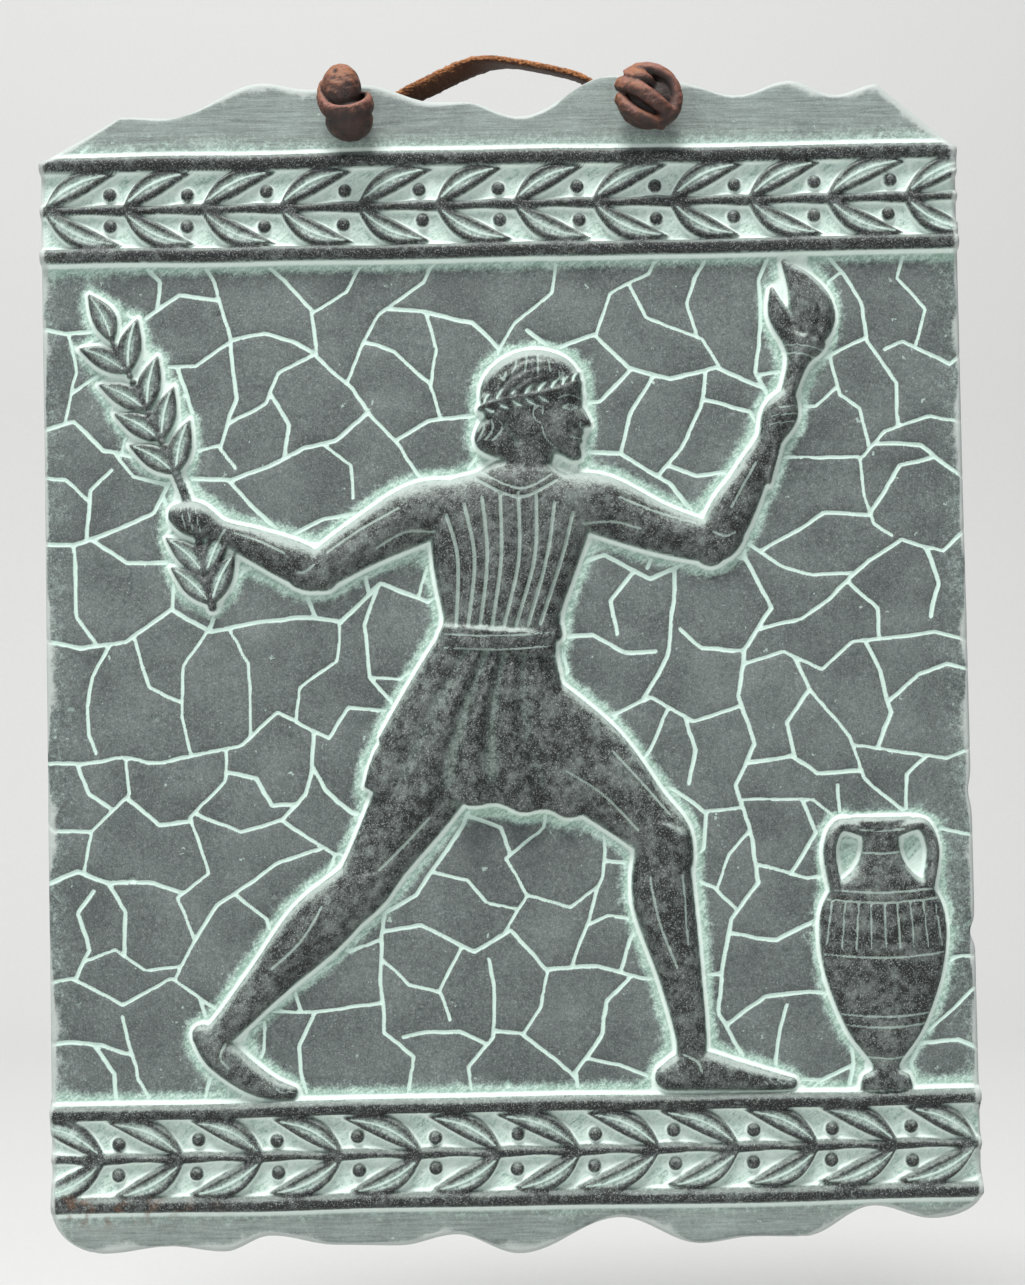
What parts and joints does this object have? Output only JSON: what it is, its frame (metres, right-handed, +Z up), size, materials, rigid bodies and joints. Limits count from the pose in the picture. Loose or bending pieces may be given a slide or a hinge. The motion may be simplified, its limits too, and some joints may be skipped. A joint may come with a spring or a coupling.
{
  "type": "ceramic relief tile",
  "caption": "Wall plaque of cast ceramic with a relief runner between laurel bands, wavy worn edges, and a knotted leather thong to hang it by.",
  "frame": {"origin": "underside of the thong at the top of the hanging loop, where a nail carries it", "axes": "+Z up, the relief faces -Y, +Y goes into the wall, +X to the right as one looks at the relief"},
  "size_m": [0.1504, 0.0224, 0.1995],
  "materials": {
    "patinated_ceramic": "matt, slate with mint in the hollows",
    "thong_leather": "suede",
    "knot_leather": "worn smooth"
  },
  "bodies": {
    "root": {"tile": "patinated_ceramic", "thong": "thong_leather", "knot_left": "knot_leather", "knot_right": "knot_leather"}
  },
  "joints": []
}
